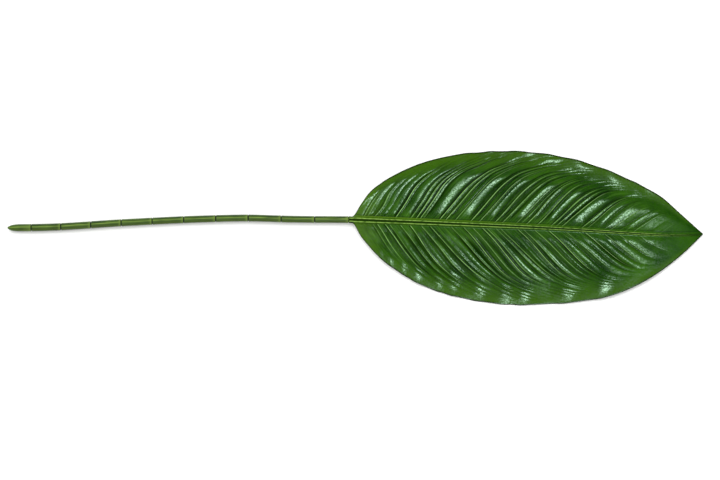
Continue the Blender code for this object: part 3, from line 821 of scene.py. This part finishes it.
def sheet_colour(tree, mottle, fibre, spot, trait):
    """Deep green, streaked along its fibres, with painted shade in the hollows and creases, pale veins
    partly lightened as a painted highlight, and on the upper half painted olive light beside the rib and
    painted shade beyond it."""
    across, along, off_rib = trait["across"], trait["along"], trait["off_rib"]
    before_tip = ramp(tree, along, 0.95, 0.75)
    streak = product(tree, ramp(tree, fibre, 0.52, 0.72), ramp(tree, across, 0.85, 0.5), before_tip)
    thread = product(tree, ramp(tree, fibre, 0.46, 0.3), before_tip)
    patches = drawn_out_noise(tree, spot, VEIN_PATCHES, 1.0)
    vein = product(tree, trait["vein"], ramp(tree, patches, 0.1, 0.52))
    # where painted shade lies beside the rib, on the upper half only
    furrow_shade = product(tree, ramp(tree, off_rib, 1.5, 2.0), ramp(tree, off_rib, 3.0, 2.4))
    # where painted light lies on the flank beside the rib, on the upper half only
    lit_flank = product(tree, ramp(tree, off_rib, 0.0, 0.3), ramp(tree, off_rib, 1.9, 1.3))
    lit_flank = product(tree, lit_flank, ramp(tree, along, 0.8, 0.2))
    mottled = mix_colour(tree, ramp(tree, mottle, 0.35, 0.65), srgb(*DEEP_GREEN), srgb(*FRESH_GREEN))
    layers = (
        (streak, 0.5, STREAK_GREEN),
        (thread, 0.55, THREAD_GREEN),
        (ramp(tree, across, 0.72, 1.0), 1.0, MARGIN_GREEN),
        (ramp(tree, along, 0.1, 0.0), 0.8, NECK_GREEN),
        # painted shade in the valleys between the pleats
        (trait["hollow"], 0.92, HOLLOW_SHADE_GREEN),
        # painted shade in the creases beside the veins
        (trait["crease"], 0.98, CREASE_SHADE_GREEN),
        # pale veins, partly their own colour and partly a painted highlight
        (vein, 1.0, PALE_VEIN_AND_HIGHLIGHT),
        (trait["rim"], 0.9, RIM_OLIVE),
        # painted shade beside the rib
        (furrow_shade, 0.6, FURROW_SHADE_GREEN),
        # painted light on the upper flank beside the rib
        (lit_flank, 0.9, LIT_FLANK_OLIVE),
    )
    return layered(tree, mottled, layers)


def rib_colour(tree, trait):
    """Olive, with a painted highlight on the two ridges and painted shade in the channel between them,
    which both end near the tip.
    """
    along = trait["along"]
    strand = along_strands(tree, RIB_STRANDS)
    # where the painted highlight lies on the ridges, broken along the strands
    ridge = product(tree, trait["ridge"], ramp(tree, along, 0.98, 0.84), ramp(tree, strand, 0.22, 0.55))
    # where painted shade lies in the channel
    channel = product(tree, trait["channel"], ramp(tree, along, 0.95, 0.7))
    olive = mix_colour(tree, ramp(tree, along, 0.0, 0.7), srgb(*RIB_AT_SEAM), srgb(*RIB_NEAR_TIP))
    layers = (
        (ramp(tree, strand, 0.5, 0.3), 0.6, RIB_STRAND),
        # painted highlight on the ridges
        (ridge, 1.0, RIDGE_HIGHLIGHT_GREEN),
        # painted shade in the channel
        (channel, 1.0, CHANNEL_SHADE_GREEN),
    )
    return layered(tree, olive, layers)


def blade_gloss(tree, speckle, trait):
    """How far the skin's coat shows: speckled, a little less on the upper half, and gone in creases and
    hollows and on the veins, the rib, the rim and the tip."""
    satin = product(tree, ramp(tree, trait["off_rib"], 2.0, 10.0), 0.2)
    smooth_skin = (
        opposite(tree, trait["crease"]),
        opposite(tree, trait["vein"]),
        ramp(tree, trait["across"], -0.002, 0.05),
        ramp(tree, trait["hollow"], 1.1, 0.2),
        ramp(tree, trait["rim"], 1.1, 0.4),
        ramp(tree, trait["along"], 0.98, 0.83),
        opposite(tree, satin),
    )
    return product(tree, ramp(tree, speckle, 0.4, 0.6, 0.03, 1.0), *smooth_skin)


def blade_material(grain):
    """Deep glossy green, with pale veins partly lightened as a painted highlight, a rib with painted
    highlights on its ridges, painted shade in the hollows and creases, and a yellower margin.
    """
    material, tree, shader = new_material("blade_skin")
    speckle, mottle = place_grain(tree, grain, BLADE_SPECKLE, BLADE_MOTTLE)
    trait = {name: painted(tree, name) for name in BLADE_TRAITS}
    spot = add(tree, "ShaderNodeCombineXYZ", {"X": trait["start"], "Y": trait["across"]}).outputs[0]
    fibre = drawn_out_noise(tree, spot, BLADE_FIBRES, 2.0)

    sheet = sheet_colour(tree, mottle, fibre, spot, trait)
    colour = mix_colour(tree, trait["rib"], sheet, rib_colour(tree, trait))
    colour = layered(tree, colour, [(painted(tree, "underside"), 0.6, UNDERSIDE_GREEN)])
    tree.links.new(colour, shader.inputs["Base Color"])
    tree.links.new(ramp(tree, speckle, 0.3, 0.7, 0.2, 0.29), shader.inputs["Roughness"])
    tree.links.new(blade_gloss(tree, speckle, trait), shader.inputs["Coat Weight"])
    shader.inputs["Coat Roughness"].default_value = 0.26
    shader.inputs["Coat IOR"].default_value = 1.68
    shader.inputs["Specular IOR Level"].default_value = 0.05

    ribbing = product(tree, fibre, 0.4, ramp(tree, trait["across"], 0.8, 0.5))
    relief = add(tree, "ShaderNodeMath", {0: ribbing, 1: speckle}, operation="ADD").outputs[0]
    bump = add(tree, "ShaderNodeBump", {"Strength": 0.2, "Distance": 0.0003, "Height": relief})
    tree.links.new(bump.outputs["Normal"], shader.inputs["Normal"])
    return material


def stem_material(grain):
    """Satin olive green, streaked along its length, with painted shade on its far side, a painted highlight
    line along its top, a painted highlight before each ring and painted shade in it."""
    material, tree, shader = new_material("stem_skin")
    speckle, mottle = place_grain(tree, grain, STEM_SPECKLE, STEM_MOTTLING)
    side = painted(tree, "side")
    strand = along_strands(tree, STEM_STRANDS)
    # where the painted highlight line lies along the stem's top
    line = product(tree, ramp(tree, side, -0.05, 0.16), ramp(tree, side, 0.45, 0.22))
    line = product(tree, line, ramp(tree, strand, 0.2, 0.7))
    # painted light on the stem's front and painted shade on its back
    olive = mix_colour(tree, ramp(tree, side, -0.6, 0.5), srgb(*STEM_LIT_FRONT), srgb(*STEM_SHADED_BACK))
    layers = (
        (ramp(tree, mottle, 0.35, 0.7), 1.0, STEM_MOTTLE),
        (ramp(tree, strand, 0.55, 0.35), 0.45, STEM_STRAND),
        # painted highlight line
        (line, 1.0, STEM_HIGHLIGHT_LINE),
        # painted highlight on the ring's lip
        (painted(tree, "lip"), 0.8, RING_LIP_HIGHLIGHT),
        # painted shade in the ring's groove
        (painted(tree, "groove"), 1.0, RING_GROOVE_SHADE),
    )
    tree.links.new(layered(tree, olive, layers), shader.inputs["Base Color"])
    shader.inputs["Roughness"].default_value = 0.42
    shader.inputs["Specular IOR Level"].default_value = 0.35
    bump = add(tree, "ShaderNodeBump", {"Strength": 0.3, "Distance": 0.0002, "Height": speckle})
    tree.links.new(bump.outputs["Normal"], shader.inputs["Normal"])
    return material


def floor_material():
    """Matt white paper."""
    material, _, shader = new_material("white_paper")
    shader.inputs["Base Color"].default_value = (0.94, 0.94, 0.935, 1.0)
    shader.inputs["Roughness"].default_value = 0.9
    shader.inputs["Specular IOR Level"].default_value = 0.1
    return material


def make_floor():
    """A plain white surface that the leaf lies on."""
    corners = [(x * FLOOR_REACH, y * FLOOR_REACH, 0.0) for x, y in ((-1, -1), (1, -1), (1, 1), (-1, 1))]
    mesh = bpy.data.meshes.new("white_floor")
    mesh.from_pydata(corners, [], [(0, 1, 2, 3)])
    mesh.materials.append(floor_material())
    floor = bpy.data.objects.new("white_floor", mesh)
    floor.location.z = FLOOR_Z
    bpy.context.scene.collection.objects.link(floor)


def add_light(name, place, size, watts, colour=(1.0, 1.0, 1.0)):
    """A soft rectangular light aimed at the blade. Lights look along their own -Z."""
    data = bpy.data.lights.new(name, "AREA")
    data.shape = "RECTANGLE"
    data.size, data.size_y = size
    data.energy = watts
    data.color = colour
    light = bpy.data.objects.new(name, data)
    light.location = place
    light.rotation_euler = (Vector(LIT_PLACE) - Vector(place)).to_track_quat("-Z", "Y").to_euler()
    bpy.context.scene.collection.objects.link(light)
    return light


def make_camera():
    """Straight above the leaf, as the photograph was taken."""
    data = bpy.data.cameras.new("camera")
    data.sensor_width = SENSOR_WIDTH
    data.lens = SENSOR_WIDTH * CAMERA_HEIGHT / FRAME_WIDTH
    camera = bpy.data.objects.new("camera", data)
    camera.location = (*CAMERA_OVER, CAMERA_HEIGHT)
    bpy.context.scene.collection.objects.link(camera)
    bpy.context.scene.camera = camera


def light_scene():
    """An even white sky, a broad light above and behind, and a smaller one in front that gives the gloss,
    with the green cast that the photograph's glints have."""
    world = bpy.data.worlds.new("studio")
    world.use_nodes = True
    sky = world.node_tree.nodes["Background"]
    sky.inputs["Color"].default_value = (1.0, 1.0, 1.0, 1.0)
    sky.inputs["Strength"].default_value = SKY_STRENGTH
    bpy.context.scene.world = world
    world.cycles_visibility.glossy = False
    broad = add_light("broad_light", (-0.7, 2.2, 3.2), (4.0, 3.0), 138.0)
    broad.visible_glossy = False
    gloss = add_light("gloss_light", (0.85, -1.07, 3.0), (0.9, 0.6), 58.0, (0.66, 1.0, 0.72))
    gloss.visible_diffuse = False
    bpy.context.scene.view_settings.view_transform = "Standard"


def main():
    """Sets the studio, then makes each piece, finishes it and puts it in place of its solid."""
    make_camera()
    light_scene()
    make_floor()
    grain = skin_grain()
    blade = make_blade()
    blade.data.materials.append(blade_material(grain))
    stem = make_stem()
    stem.data.materials.append(stem_material(grain))
    for piece, node in ((blade, "blade"), (stem, "stem")):
        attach(piece, "root")
        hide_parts(node)


main()
